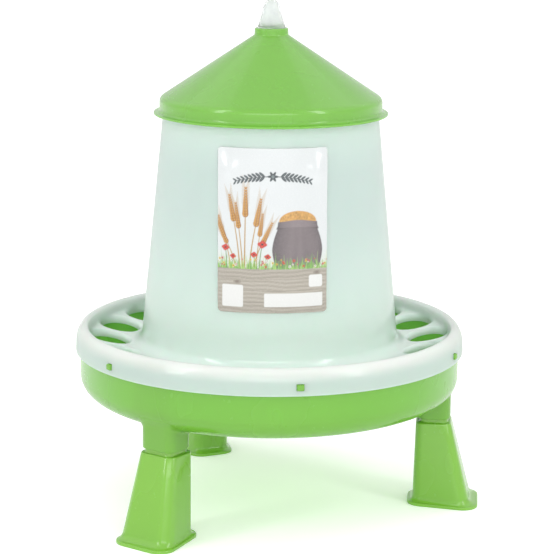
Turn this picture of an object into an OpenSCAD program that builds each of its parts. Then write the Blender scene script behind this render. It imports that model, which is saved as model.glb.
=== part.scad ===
// Gravity poultry feeder on three legs. A hopper with a loose lid stands in a
// round pan. A ring with feeding holes, moulded with the hopper, covers the pan.
// The origin is on the feeder's axis at floor level, -Y is the labelled front
// and +Z is up. Angles around the feeder are counted from the front towards +X.

/* [Feeding ring] */
// Outer diameter of the feeding ring
ring_d = 300; // [296:0.5:304]
// Height of the ring's crest above the floor
crest_z = 139.5; // [139:0.5:140]
// Height of the skirt's lower edge above the floor
skirt_z = 120.1; // [119.5:0.1:121.5]
// Number of feeding holes
hole_count = 18; // [12:1:18]
// Width of a feeding hole along the ring
hole_w = 36; // [30:0.5:37]
// Angle of the first feeding hole from the front
hole_angle = 13.4; // [0:0.1:20]
// Rise of the grille towards the rim
grille_slope = 12; // [10:0.5:13]
// Wall thickness of the rim
ring_t = 2.2; // [2:0.1:2.4]
// Thickness of the grille bars
grille_t = 3.5; // [3:0.1:4]

/* [Hopper] */
// Radius of the hopper at the height of the grille
hopper_r = 98.8; // [97:0.1:100]
// Height of the hopper's top edge above the floor
hopper_top_z = 313.6; // [310:0.1:313.6]
// Height of the hopper's lower edge, where the feed runs out
hopper_foot_z = 105.5; // [101.5:0.5:111.5]
// Radius lost per unit of height
hopper_taper = 0.0988; // [0.0988:0.0001:0.102]
// Wall thickness of the hopper
hopper_t = 2.2; // [1.8:0.1:2.4]

/* [Lid] */
// Outer radius of the lid's lip
lid_r = 89; // [88.5:0.1:91]
// Height of the lip's lower edge above the floor
lid_foot_z = 302; // [301:0.1:302.5]
// Height of the collar's top face above the floor
collar_z = 366.8; // [366.5:0.1:369.5]
// Wall thickness of the lid
lid_t = 2.2; // [2:0.1:2.3]

/* [Cap] */
// Height of the clear cap above the collar
cap_h = 21.7; // [20:0.1:24]
// Radius of the cap at its foot
cap_r = 10.5; // [9.5:0.1:11.5]

/* [Pan] */
// Outer radius of the pan's wall
pan_r = 146.5; // [146.2:0.1:146.5]
// Height of the pan's underside above the floor
pan_z = 81.5; // [81:0.1:82]
// Wall thickness of the pan
pan_t = 2.4; // [2:0.1:2.6]
// Height of the feed cone's tip above the floor
cone_z = 126; // [116.5:0.5:131.5]
// Number of snap tabs
tab_count = 6; // [3:1:6]
// Angle of the first snap tab from the front
tab_angle = 8.6; // [0:0.2:59]

/* [Legs] */
// Angle of the right leg from the front
leg_angle = 84.3; // [80:0.1:90]
// Distance of the leg sockets from the axis
socket_r = 129.2; // [128.5:0.1:130]
// Height of the leg's shoulder above the floor
shoulder_z = 66; // [62:0.5:66.5]
// Height of the open socket mouth above the floor
socket_z = 69.2; // [68:0.1:70.5]
// Distance that a foot reaches from the axis
foot_reach = 164.6; // [163:0.1:167]
// Wall thickness of a leg
leg_t = 2.2; // [1.8:0.1:2.6]

/* [Label] */
// Width of the label, measured straight across
label_w = 79.2; // [60:0.1:80]
// Angle of the label's middle from the front
label_angle = 1.2; // [-2:0.1:2]
// Height of the label's lower edge above the floor
label_z = 168.1; // [165.5:0.1:171.5]
// Height of the label
label_h = 119.2; // [100:0.1:122]
// Thickness of the label
label_t = 0.3; // [0.2:0.05:0.4]

/* [Hidden] */

GREEN = [0.54, 0.78, 0.37];
MINT = [0.82, 0.92, 0.87, 0.85];
CLEAR = [0.90, 0.94, 0.92, 0.60];
PAPER = [0.88, 0.89, 0.86];

round_fn = 180;             // sides of the large turned shapes
leg_step = 120;             // angle between neighbouring legs
gap = 0.4;                  // clearance between pieces that come apart

ring_r = ring_d / 2;
grille_z = 125.8;           // top of the grille at its lowest circle
grille_r = 109.5;           // radius of that lowest circle
hole_in = 109;              // inner and outer ends of a feeding hole
hole_out = 138.4;
rim_r = 137.6;              // foot of the rim's inner wall
crest_r = 142.7;            // circle of the rim's crest
crest_round = 2.6;
fillet_r = 9;               // hopper-to-grille fillet
window_w = 6;               // windows in the skirt behind which the tabs sit
window_z = 126.5;
window_h = 5.1;
tab_w = 5.2;
tab_h = 4.2;
tab_reach = ring_r - ring_t - gap;

socket_len = 25.5;          // outer size of a socket, radial by tangential
socket_w = 30;
socket_wall = 1.6;
socket_round = 7;
socket_roof_z = 80.9;
spigot_len = socket_len - 2 * (socket_wall + gap);
spigot_w = socket_w - 2 * (socket_wall + gap);
spigot_round = socket_round - socket_wall - gap;
spigot_z = socket_roof_z - gap;
foot_t = 2.6;               // thickness of the foot's flange
foot_mid = 137.1;           // distance of the flange's middle from the axis

collar_r = 12.6;
collar_bore_r = 8.3;
roof_r = 14.2;              // circle where the roof meets the collar
roof_z = 360.8;
eave_r = 84.5;              // outer radius of the band under the roof
roof_slope = 0.662;         // fall of the roof per unit of radius
plug_r = collar_bore_r - 0.15;
plug_h = 7.5;
cap_t = 1.2;

// ---- profile helpers -------------------------------------------------------

// Points on an ellipse quarter or any other stretch of an ellipse.
function arc(cx, cz, rx, rz, a0, a1, n = 10) =
    [for (i = [0:n]) let (a = a0 + (a1 - a0) * i / n) [cx + rx * cos(a), cz + rz * sin(a)]];

// Points on a quadratic curve that starts at p, is pulled to q and ends at s.
function curve(p, q, s, n = 10) =
    [for (i = [0:n]) let (t = i / n) (1 - t) * (1 - t) * p + 2 * t * (1 - t) * q + t * t * s];

function unit(v) = v / norm(v);
function turn_right(v) = [v[1], -v[0]];

// The path moved sideways by t, to the right of its direction.
function beside(path, t) = [
    for (i = [0:len(path) - 1])
    let (a = unit(path[min(i + 1, len(path) - 1)] - path[max(i - 1, 0)]))
    path[i] + t * turn_right(a)];

function backwards(path) = [for (i = [len(path) - 1:-1:0]) path[i]];

// A closed wall profile of thickness t on the right of the path.
function wall(path, t) = concat(path, backwards(beside(path, t)));

// Corner points of a rounded rectangle around the origin.
function rounded_rect(w, h, r, n = 8) = concat(
    arc(w / 2 - r, h / 2 - r, r, r, 0, 90, n), arc(r - w / 2, h / 2 - r, r, r, 90, 180, n),
    arc(r - w / 2, r - h / 2, r, r, 180, 270, n), arc(w / 2 - r, r - h / 2, r, r, 270, 360, n));

module turned(profile) { rotate_extrude($fn = round_fn) polygon(profile); }

// Places its child at radius r on the ray that leaves the axis at angle a.
module on_ray(a, r) { rotate([0, 0, a]) translate([0, -r, 0]) children(); }

// ---- hopper ----------------------------------------------------------------

function hopper_at(z) = hopper_r + (grille_z + 6 - z) * hopper_taper;

module hopper_solid(r_less, z0, z1) {
    turned([[0, z0], [hopper_at(z0) - r_less, z0], [hopper_at(z1) - r_less, z1], [0, z1]]);
}

module hopper() {
    color(MINT) turned([
        [hopper_at(hopper_foot_z) - hopper_t, hopper_foot_z],
        [hopper_at(hopper_foot_z), hopper_foot_z],
        [hopper_at(hopper_top_z), hopper_top_z],
        [hopper_at(hopper_top_z) - hopper_t, hopper_top_z]]);
}

// ---- feeding ring ----------------------------------------------------------

function grille_at(r) = grille_z + (r - grille_r) * tan(grille_slope);

// Centre of the fillet: a circle that touches the hopper's wall and the grille.
lean = atan(hopper_taper);
wall_n = [cos(lean), sin(lean)];
floor_n = [-sin(grille_slope), cos(grille_slope)];
wall_d = wall_n * [hopper_at(grille_z), grille_z] + fillet_r;
floor_d = floor_n * [grille_r, grille_z] + fillet_r;
fillet_det = wall_n[0] * floor_n[1] - wall_n[1] * floor_n[0];
fillet_c = [wall_d * floor_n[1] - floor_d * wall_n[1], floor_d * wall_n[0] - wall_d * floor_n[0]] / fillet_det;

// Grille, from inside the hopper's wall to the rim, with the fillet on top.
grille_profile = concat(
    arc(fillet_c[0], fillet_c[1], fillet_r, fillet_r, 180 + lean, 270 + grille_slope, 12),
    [[rim_r + 1, grille_at(rim_r + 1)],
     [rim_r + 2, grille_at(rim_r + 1) - grille_t],
     [fillet_c[0], grille_at(fillet_c[0]) - grille_t],
     [hopper_at(grille_z) - 2, grille_at(fillet_c[0]) - grille_t - 2],
     [hopper_at(grille_z) - 2, fillet_c[1]]]);

// Rim: up the inner wall, over the crest and down the skirt.
rim_path = concat(
    [[rim_r, grille_at(rim_r) - ring_t], [rim_r + 1.4, grille_at(rim_r) + 2.4]],
    arc(crest_r, crest_z - crest_round, crest_round, crest_round, 180, 100, 6),
    arc(crest_r, crest_z - 14, ring_r - crest_r, 14, 88, 0, 14),
    [[ring_r, skirt_z]]);

module feeding_hole() {
    translate([0, 0, grille_z - 20]) linear_extrude(40)
        polygon(arc(0, 0, hole_w / 2, (hole_out - hole_in) / 2, 0, 345, 23));
}

module feeding_ring() {
    color(MINT) difference() {
        union() {
            turned(grille_profile);
            turned(wall(rim_path, ring_t));
        }
        hopper_solid(0, hopper_foot_z - 1, 160);
        for (i = [0:hole_count - 1])
            on_ray(hole_angle + 360 * i / hole_count, (hole_in + hole_out) / 2) feeding_hole();
        for (i = [0:tab_count - 1])
            on_ray(tab_angle + 360 * i / tab_count, ring_r - ring_t)
                translate([-window_w / 2, -3 * ring_t, window_z - window_h / 2])
                    cube([window_w, 4 * ring_t, window_h]);
    }
}

// ---- label -----------------------------------------------------------------

module label() {
    top = label_z + label_h;
    color(PAPER) intersection() {
        turned([[hopper_at(label_z), label_z], [hopper_at(label_z) + label_t, label_z],
                [hopper_at(top) + label_t, top], [hopper_at(top), top]]);
        on_ray(label_angle, hopper_r)
            translate([-label_w / 2, -1, label_z - 1]) cube([label_w, hopper_r / 2, label_h + 2]);
    }
}

// ---- lid -------------------------------------------------------------------

roof_foot_z = roof_z - (eave_r - 2.5 - roof_r) * roof_slope;
roof_drop = lid_t * norm([1, roof_slope]);   // roof thickness measured upright

lid_outer = concat(
    [[collar_r - 0.6, collar_z], [collar_r, collar_z - 0.6], [collar_r + 0.3, roof_z + 0.6],
     [roof_r, roof_z]],
    curve([eave_r - 2.5, roof_foot_z], [eave_r, roof_foot_z - 2.5 * roof_slope],
          [eave_r, roof_foot_z - 5], 6),
    [[eave_r + 0.2, lid_foot_z + 6.5]],
    curve([eave_r + 0.2, lid_foot_z + 4.9], [eave_r + 0.6, lid_foot_z + 2.3], [lid_r, lid_foot_z + 1.3], 6),
    [[lid_r, lid_foot_z]]);

lid_inner = [
    [lid_r - lid_t, lid_foot_z],
    [eave_r - lid_t, lid_foot_z + 2.7],
    [eave_r - lid_t, roof_foot_z - 5],
    [eave_r - lid_t - 1.2, roof_z - (eave_r - lid_t - 1.2 - roof_r) * roof_slope - roof_drop],
    [collar_r, roof_z - (collar_r - roof_r) * roof_slope - roof_drop],
    [collar_bore_r, roof_z - (collar_r - roof_r) * roof_slope - roof_drop]];

module lid() {
    color(GREEN) turned(concat([[collar_bore_r, collar_z]], lid_outer, lid_inner));
}

// ---- clear cap -------------------------------------------------------------

// Outer shape as parts of the cap's height and foot radius: a tapered body, a
// small ledge and a domed tip.
cap_ledge_z = collar_z + 0.70 * cap_h;
cap_path = concat(
    [[cap_r, collar_z], [cap_r, collar_z + 1.2]],
    curve([cap_r - 0.6, collar_z + 2], [cap_r - 2.4, collar_z + 0.35 * cap_h],
          [0.63 * cap_r, cap_ledge_z - 1.4], 8),
    [[0.62 * cap_r, cap_ledge_z]],
    arc(0, cap_ledge_z + 0.5, 0.55 * cap_r, 0.3 * cap_h - 0.5, 0, 90, 10));

module finial_cap() {
    inner = beside(cap_path, -cap_t);
    tip = len(cap_path) - 1;
    color(CLEAR) turned(concat(
        [[plug_r - cap_t, collar_z - plug_h], [plug_r, collar_z - plug_h], [plug_r, collar_z]],
        cap_path,
        [[0, collar_z + cap_h - cap_t]],
        [for (i = [tip - 1:-1:2]) inner[i]],
        [[plug_r - cap_t, collar_z + 1]]));
}

// ---- pan -------------------------------------------------------------------

// Underside and outer wall, from the hollow of the feed cone to the top edge.
cone_r = 84;                // foot of the feed cone
cone_tip_r = 6;
pan_path = concat(
    [[0, cone_z - pan_t], [cone_tip_r, cone_z - pan_t - 1], [cone_r, pan_z + 2.4],
     [cone_r + 5, pan_z], [112, pan_z + 0.4], [124, pan_z + 1.6]],
    curve([134, pan_z + 3.6], [pan_r - 1.5, pan_z + 8], [pan_r, pan_z + 18], 12),
    [[pan_r, 128.5], [pan_r - 1.3, crest_z - 4.6]]);

// Inner surface, in the opposite direction.
pan_inner = [for (p = backwards(beside(pan_path, -pan_t))) [max(p[0], 0), p[1]]];

module pan_hollow() {
    turned(concat([[0, crest_z + 20]], backwards(pan_inner),
                  [[pan_r - pan_t, crest_z + 20]]));
}

module leg_socket() {
    difference() {
        translate([0, 0, socket_z]) linear_extrude(97.5 - socket_z)
            polygon(rounded_rect(socket_w, socket_len, socket_round));
        translate([0, 0, socket_z - 1]) linear_extrude(socket_roof_z - socket_z + 1)
            polygon(rounded_rect(socket_w - 2 * socket_wall, socket_len - 2 * socket_wall,
                                 socket_round - socket_wall));
    }
}

module pan() {
    color(GREEN) {
        difference() {
            union() {
                turned(concat(pan_path, pan_inner));
                for (i = [-1:1]) on_ray(leg_angle + i * leg_step, socket_r) leg_socket();
            }
            pan_hollow();
        }
        for (i = [0:tab_count - 1]) on_ray(tab_angle + 360 * i / tab_count, tab_reach)
            translate([-tab_w / 2, 0, window_z - tab_h / 2])
                cube([tab_w, tab_reach - pan_r + 1, tab_h]);
    }
}

// ---- legs ------------------------------------------------------------------

// Outline of a leg across its height: 4 round corners, wider on the outside.
// in and out are the distances of its faces from the axis.
module leg_outline(in, out, half_in, half_out, r, h) {
    for (s = [-1, 1]) {
        translate([s * (half_in - r), -in - r, 0]) cylinder(r = r, h = h, $fn = 32);
        translate([s * (half_out - r), -out + r, 0]) cylinder(r = r, h = h, $fn = 32);
    }
}

// Leg body between the flange and the shoulder, made smaller all round by t.
module leg_body(t, z0, z1) {
    hull() {
        translate([0, 0, z1 - 0.1])
            leg_outline(115.3 + t, 142.5 - t, 15.8 - t, 15.8 - t, 6.5 - t, 0.1);
        translate([0, 0, z0])
            leg_outline(113.8 + t, 159.2 - t, 15.8 - t, 23.2 - t, 9 - t, 0.1);
    }
}

module leg() {
    difference() {
        union() {
            leg_body(0, 0, shoulder_z);
            hull() leg_outline(2 * foot_mid - foot_reach, foot_reach, 19.4, 25, 12, foot_t);
            translate([0, -socket_r, shoulder_z - 1]) linear_extrude(spigot_z - shoulder_z + 1)
                polygon(rounded_rect(spigot_w, spigot_len, spigot_round));
        }
        leg_body(leg_t, -0.5, shoulder_z - leg_t);
        translate([0, -socket_r, shoulder_z - 10]) linear_extrude(spigot_z - shoulder_z + 10 - leg_t)
            polygon(rounded_rect(spigot_w - 2 * leg_t, spigot_len - 2 * leg_t, spigot_round - leg_t / 2));
    }
}

module leg_right() { color(GREEN) rotate([0, 0, leg_angle]) leg(); }
module leg_left() { color(GREEN) rotate([0, 0, leg_angle - leg_step]) leg(); }
module leg_rear() { color(GREEN) rotate([0, 0, leg_angle + leg_step]) leg(); }

pan();
hopper();
feeding_ring();
label();
lid();
finial_cap();
leg_right();
leg_left();
leg_rear();
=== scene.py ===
"""Visual model of a gravity poultry feeder: a lidded hopper over a round pan on three legs.

Lengths are in millimetres until a mesh is made, where they become metres. Angles around the
feeder count from the labelled front (-Y) towards +X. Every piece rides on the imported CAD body
that it belongs to and stands for that body's nodes.
"""
import logging
import math
from dataclasses import dataclass, field
from enum import Enum
from typing import Any, Sequence, Union

import bmesh
import bpy
import numpy as np
from mathutils import Matrix, Vector


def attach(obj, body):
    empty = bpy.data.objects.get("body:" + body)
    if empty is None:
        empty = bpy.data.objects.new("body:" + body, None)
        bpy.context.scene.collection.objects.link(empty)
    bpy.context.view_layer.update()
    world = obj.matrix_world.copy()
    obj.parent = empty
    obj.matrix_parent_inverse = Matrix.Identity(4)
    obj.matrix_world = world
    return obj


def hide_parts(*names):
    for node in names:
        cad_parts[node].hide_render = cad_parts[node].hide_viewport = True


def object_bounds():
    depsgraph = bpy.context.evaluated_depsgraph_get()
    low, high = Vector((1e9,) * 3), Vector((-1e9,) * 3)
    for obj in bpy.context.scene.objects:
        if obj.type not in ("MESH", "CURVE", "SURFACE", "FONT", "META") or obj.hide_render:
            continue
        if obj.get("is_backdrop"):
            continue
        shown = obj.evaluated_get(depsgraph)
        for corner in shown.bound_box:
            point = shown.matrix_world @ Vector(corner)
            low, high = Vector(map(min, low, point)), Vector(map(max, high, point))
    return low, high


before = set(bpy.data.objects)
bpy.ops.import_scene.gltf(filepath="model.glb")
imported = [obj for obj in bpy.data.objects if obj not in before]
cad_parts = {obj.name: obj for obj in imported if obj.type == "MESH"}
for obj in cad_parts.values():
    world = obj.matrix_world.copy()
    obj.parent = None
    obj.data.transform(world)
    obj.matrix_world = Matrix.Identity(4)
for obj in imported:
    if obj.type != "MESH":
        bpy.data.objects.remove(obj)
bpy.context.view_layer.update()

Array = np.ndarray
Number = Union[float, "Value"]
Rgb = tuple[float, float, float]
MM = 0.001
log = logging.getLogger("feeder")


class Body(Enum):
    """The CAD bodies that pieces ride on."""

    BASE = "base"
    HOPPER = "hopper_unit"
    LID = "lid_unit"
    LEG_RIGHT = "leg_right_unit"
    LEG_LEFT = "leg_left_unit"
    LEG_REAR = "leg_rear_unit"


class Slot(Enum):
    """The record's material slots."""

    GREEN = "green_plastic"
    MILKY = "translucent_plastic"
    CLEAR = "clear_plastic"
    PRINT = "printed_label"


# ---- curves and surfaces ---------------------------------------------------


def arc(cx: float, cz: float, rx: float, rz: float, start: float, stop: float,
        steps: int = 8) -> Array:
    """Points on a stretch of an ellipse: centre plus radius times cosine and sine of the angle.

    Args:
        cx, cz: centre.
        rx, rz: radii along the first and second axis.
        start, stop: first and last angle in degrees.
        steps: number of equal steps between them.

    Returns:
        An array of steps + 1 points.
    """
    a = np.radians(np.linspace(start, stop, steps + 1))
    return np.stack([cx + rx * np.cos(a), cz + rz * np.sin(a)], -1)


def pulled(p: Sequence[float], q: Sequence[float], s: Sequence[float], steps: int = 10) -> Array:
    """A quadratic curve from p to s, pulled to q: (1-t)^2 p + 2t(1-t) q + t^2 s."""
    t = np.linspace(0, 1, steps + 1)[:, None]
    return (1 - t) ** 2 * np.array(p) + 2 * t * (1 - t) * np.array(q) + t * t * np.array(s)


def rounded_path(corners: Sequence[Sequence[float]], steps: int = 6, support: float = 0.5) -> Array:
    """Straight runs between corners, with each inner corner turned into an arc.

    The arc touches both runs at radius / tan(half the inside angle) from the corner. A support
    point on each run close to the arc keeps the run's shading straight.

    Args:
        corners: points as (r, z) or (r, z, radius); the two ends keep their place.
        steps: steps of each arc.
        support: distance of the support points from the arc's ends.

    Returns:
        The path's points.
    """
    points = np.array([c[:2] for c in corners], float)
    radii = [c[2] if len(c) > 2 else 0.0 for c in corners]
    out = [points[:1]]
    for before, here, after, radius in zip(points, points[1:], points[2:], radii[1:]):
        if radius <= 0:
            out.append(here[None])
            continue
        to_before, to_after = before - here, after - here
        room_before, room_after = np.linalg.norm(to_before), np.linalg.norm(to_after)
        to_before, to_after = to_before / room_before, to_after / room_after
        half = math.acos(float(np.clip(to_before @ to_after, -1, 1))) / 2
        reach = radius / math.tan(half)
        middle = to_before + to_after
        centre = here + middle / np.linalg.norm(middle) * radius / math.sin(half)
        first, last = here + to_before * reach - centre, here + to_after * reach - centre
        sweep = math.pi - 2 * half
        t = np.linspace(0, 1, steps + 1)[:, None]
        spoke = np.sin((1 - t) * sweep) * first + np.sin(t * sweep) * last
        bend = centre + spoke / math.sin(sweep)
        lead = here + to_before * (reach + min(support, 0.3 * max(room_before - reach, 0)))
        tail = here + to_after * (reach + min(support, 0.3 * max(room_after - reach, 0)))
        out += [lead[None], bend, tail[None]]
    out.append(points[-1:])
    return np.concatenate(out)


def beside(path: Array, distance: float) -> Array:
    """The path moved sideways to its left: each point plus distance times the unit normal."""
    along = np.gradient(path, axis=0)
    along /= np.linalg.norm(along, axis=1, keepdims=True)
    return path + distance * np.stack([-along[:, 1], along[:, 0]], -1)


def turned(path: Array, angles: Array) -> Array:
    """Surface of revolution: point i of the path, turned by angle j about the axis.

    Args:
        path: points (r, z).
        angles: angles from the front in radians.

    Returns:
        A grid of points (r sin a, -r cos a, z).
    """
    r, z = path[:, :1], path[:, 1:]
    x, y = r * np.sin(angles), -r * np.cos(angles)
    return np.stack([x, y, np.broadcast_to(z, x.shape)], -1)


def on_ray(x: Array, y: Array, z: Array, angle: float) -> Array:
    """Points given across (x) and along (y) the ray that leaves the axis at angle, in degrees."""
    a = math.radians(angle)
    return np.stack([x * math.cos(a) + y * math.sin(a), x * math.sin(a) - y * math.cos(a),
                     np.broadcast_to(z, x.shape)], -1)


def ring_angles(count: int, first: float = 0.0) -> Array:
    """Equally spaced angles around the circle, in radians; first is in degrees."""
    return math.radians(first) + np.arange(count) * 2 * math.pi / count


@dataclass
class Shell:
    """Grids of points that together close into one or more solids."""

    name: str
    points: list[Array] = field(default_factory=list)
    quads: list[Array] = field(default_factory=list)
    count: int = 0

    def add(self, grid: Array, round_rows: bool = False, round_columns: bool = True,
            skip: Array | None = None) -> None:
        """Adds a grid's points and the quads between neighbours.

        Args:
            grid: rows x columns x 3 points.
            round_rows: join the last row to the first.
            round_columns: join the last column to the first.
            skip: quads to leave out, as a mask of rows x columns.
        """
        index = np.arange(grid.shape[0] * grid.shape[1]).reshape(grid.shape[:2]) + self.count
        if round_rows:
            index = np.concatenate([index, index[:1]])
        if round_columns:
            index = np.concatenate([index, index[:, :1]], axis=1)
        quads = np.stack([index[:-1, :-1], index[:-1, 1:], index[1:, 1:], index[1:, :-1]], -1)
        if skip is not None:
            quads = quads[~skip]
        self.points.append(grid.reshape(-1, 3))
        self.quads.append(quads.reshape(-1, 4))
        self.count += grid.shape[0] * grid.shape[1]

    def build(self, sharp: float = 42.0) -> bpy.types.Object:
        """Welds the grids, turns their faces outwards and makes the object.

        Args:
            sharp: edges that turn by more than this angle, in degrees, stay crisp.

        Returns:
            The new object, at the origin.
        """
        co = np.concatenate(self.points) * MM
        faces = np.concatenate(self.quads)
        mesh = bpy.data.meshes.new(self.name)
        mesh.vertices.add(len(co))
        mesh.vertices.foreach_set("co", co.ravel())
        mesh.loops.add(faces.size)
        mesh.loops.foreach_set("vertex_index", faces.ravel().astype(np.int32))
        mesh.polygons.add(len(faces))
        mesh.polygons.foreach_set("loop_start", np.arange(0, faces.size, 4, dtype=np.int32))
        mesh.update(calc_edges=True)
        work = bmesh.new()
        work.from_mesh(mesh)
        bmesh.ops.remove_doubles(work, verts=work.verts, dist=2e-6)
        bmesh.ops.dissolve_degenerate(work, edges=work.edges, dist=1e-6)
        bmesh.ops.recalc_face_normals(work, faces=work.faces)
        work.to_mesh(mesh)
        work.free()
        mesh.polygons.foreach_set("use_smooth", np.ones(len(mesh.polygons), bool))
        mesh.set_sharp_from_angle(angle=math.radians(sharp))
        mesh.validate()
        piece = bpy.data.objects.new(self.name, mesh)
        bpy.context.scene.collection.objects.link(piece)
        return piece


def place(piece: bpy.types.Object, body: Body, slot: Slot, material: bpy.types.Material,
          *nodes: str) -> None:
    """Dresses a piece, hangs it on its CAD body and lets it stand for CAD nodes.

    Args:
        piece: the object, which stays at the origin.
        body: the body that it rides on.
        slot: the record's slot for its material; not used.
        material: the material that it shows.
        nodes: the CAD nodes that it stands for.
    """
    piece.data.materials.clear()
    piece.data.materials.append(material)
    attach(piece, body.value)
    if nodes:
        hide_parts(*nodes)
    log.info("%s: %d faces on %s", piece.name, len(piece.data.polygons), body.value)


# ---- shader maths ----------------------------------------------------------


class Value:
    """A number in a shader: Python operators on it add Math nodes."""

    def __init__(self, graph: "Graph", socket: bpy.types.NodeSocket) -> None:
        """Wraps the output socket of a node in the graph."""
        self.graph = graph
        self.socket = socket

    def maths(self, operation: str, *others: Number) -> "Value":
        """One Math node with this value first."""
        inputs = dict(enumerate((self, *others)))
        return self.graph.node("ShaderNodeMath", {"operation": operation}, inputs)

    def __add__(self, other: Number) -> "Value":
        """Sum."""
        return self.maths("ADD", other)

    __radd__ = __add__

    def __sub__(self, other: Number) -> "Value":
        """Difference."""
        return self.maths("SUBTRACT", other)

    def __rsub__(self, other: Number) -> "Value":
        """A number minus this value."""
        return self.graph.node("ShaderNodeMath", {"operation": "SUBTRACT"}, {0: other, 1: self})

    def __mul__(self, other: Number) -> "Value":
        """Product."""
        return self.maths("MULTIPLY", other)

    __rmul__ = __mul__

    def __pow__(self, other: Number) -> "Value":
        """Power."""
        return self.maths("POWER", other)

    def ramp(self, low: float, high: float) -> "Value":
        """A smooth step from 0 where this value is low to 1 where it is high."""
        settings = {"interpolation_type": "SMOOTHSTEP"}
        return self.graph.node("ShaderNodeMapRange", settings,
                               {"Value": self, "From Min": low, "From Max": high}, "Result")


class Graph:
    """The node tree of one material."""

    def __init__(self, name: str) -> None:
        """Makes an empty material.

        Args:
            name: the material's name.
        """
        self.material = bpy.data.materials.new(name)
        self.material.use_nodes = True
        self.tree = self.material.node_tree
        self.tree.nodes.clear()

    def node(self, kind: str, settings: dict[str, Any] | None = None,
             inputs: dict[Any, Any] | None = None, output: Any = 0) -> Value:
        """Adds any node.

        Args:
            kind: the node's type.
            settings: its own settings, set first.
            inputs: values or links by socket name or number.
            output: name or number of the output that is wanted.

        Returns:
            That output.
        """
        made = self.tree.nodes.new(kind)
        for key, setting in (settings or {}).items():
            setattr(made, key, setting)
        for key, given in (inputs or {}).items():
            if isinstance(given, Value):
                self.tree.links.new(given.socket, made.inputs[key])
            else:
                made.inputs[key].default_value = given
        return Value(self, made.outputs[output])

    def place(self) -> Value:
        """The Object coordinates."""
        return self.node("ShaderNodeTexCoord", output="Object")

    def noise(self, at: Value, scale: float, detail: float = 2.0, roughness: float = 0.5) -> Value:
        """Noise between 0 and 1 at a scale in features a metre."""
        return self.node("ShaderNodeTexNoise", None,
                         {"Vector": at, "Scale": scale, "Detail": detail, "Roughness": roughness})

    def stretched(self, at: Value, scale: tuple[float, float, float]) -> Value:
        """The coordinates stretched along each axis."""
        return self.node("ShaderNodeMapping", None, {"Vector": at, "Scale": scale})

    def mix(self, share: Number, first: Any, second: Any) -> Value:
        """A colour between two colours, by share."""
        return self.node("ShaderNodeMix", {"data_type": "RGBA"}, {0: share, 6: first, 7: second}, 2)

    def bump(self, height: Value, depth: float) -> Value:
        """The normal of a surface raised by height times depth, in metres."""
        return self.node("ShaderNodeBump", None, {"Height": height, "Distance": depth}, "Normal")

    def radius_and_height(self, at: Value) -> tuple[Value, Value]:
        """Distance from the feeder's axis and height above the floor, in metres."""
        x, y, z = (self.node("ShaderNodeSeparateXYZ", None, {0: at}, k) for k in "XYZ")
        return (x * x + y * y) ** 0.5, z

    def principled(self, inputs: dict[str, Any]) -> Value:
        """A Principled shader with the given inputs."""
        return self.node("ShaderNodeBsdfPrincipled", None, inputs)

    def finish(self, shader: Value) -> bpy.types.Material:
        """Links the shader to the material's output."""
        output = self.tree.nodes.new("ShaderNodeOutputMaterial")
        self.tree.links.new(shader.socket, output.inputs["Surface"])
        return self.material

    def finish_thin(self, solid: Value, share: Number, glow: dict[str, Any]) -> bpy.types.Material:
        """Finishes a thin plastic: a share of the light comes through it from behind.

        Args:
            solid: the shader of its surface.
            share: share of the light that comes through.
            glow: inputs of the Translucent shader for that light.

        Returns:
            The material.
        """
        behind = self.node("ShaderNodeBsdfTranslucent", None, glow)
        return self.finish(self.node("ShaderNodeMixShader", None, {0: share, 1: solid, 2: behind}))


def rgba(colour: Rgb) -> tuple[float, float, float, float]:
    """A colour with full alpha."""
    return (*colour, 1.0)


def linear(red: int, green: int, blue: int) -> Rgb:
    """A screen colour of 0 to 255 a channel as linear light."""
    shares = (red / 255, green / 255, blue / 255)
    return tuple(c / 12.92 if c <= 0.04045 else ((c + 0.055) / 1.055) ** 2.4 for c in shares)


@dataclass(frozen=True)
class MouldedPlastic:
    """Dyed, slightly waxy plastic straight from the mould, thin enough to glow a little."""

    name: str = "green_moulded_plastic"
    deep: Rgb = (0.180, 0.437, 0.056)
    bright: Rgb = (0.202, 0.462, 0.066)
    glow: Rgb = (0.42, 0.88, 0.13)
    # Paler green painted on the pan's shaded inside as painted light.
    painted_trough_light: Rgb = (0.420, 0.800, 0.230)
    roughness: float = 0.27
    through: float = 0.30
    glint: float = 0.06

    def material(self) -> bpy.types.Material:
        """Soft colour drift, fine grain, flow streaks and scuffs, with painted light that pales the
        pan's shaded inside.

        Returns:
            The material.
        """
        g = Graph(self.name)
        at = g.place()
        drift = g.noise(at, 14.0, 3.0)
        streaks = g.noise(g.stretched(at, (1.0, 1.0, 0.3)), 34.0, 2.0)
        grain = g.noise(at, 1500.0, 2.0)
        scuffs = g.noise(g.stretched(at, (1.0, 0.12, 1.0)), 260.0, 4.0, 0.62).ramp(0.62, 0.78)
        radius, z = g.radius_and_height(at)
        # Painted light: the pan's inside floor and wall, in shade under the hopper and ring, are
        # painted a paler green.
        floor = (1.0 - radius.ramp(0.128, 0.132)) * z.ramp(0.0838, 0.0846)
        wall = (1.0 - radius.ramp(0.1443, 0.1460)) * z.ramp(0.098, 0.104)
        painted_trough_light = (1.0 - (1.0 - floor) * (1.0 - wall)) * (1.0 - z.ramp(0.15, 0.2))
        outside = g.mix(drift * 0.7 + streaks * 0.3, rgba(self.deep), rgba(self.bright))
        colour = g.mix(painted_trough_light, outside, rgba(self.painted_trough_light))
        rough = drift * 0.05 + streaks * 0.03 + scuffs * 0.03 + (self.roughness - 0.04)
        ripple = g.noise(at, 40.0, 1.0)
        normal = g.bump(grain * 0.02 + ripple * 2.0, 0.00004)
        solid = g.principled({
            "Base Color": colour, "Roughness": rough, "Normal": normal, "IOR": 1.49,
            "Coat Weight": 0.7, "Coat Roughness": self.glint})
        return g.finish_thin(solid, self.through, {"Color": rgba(self.glow), "Normal": normal})


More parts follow.
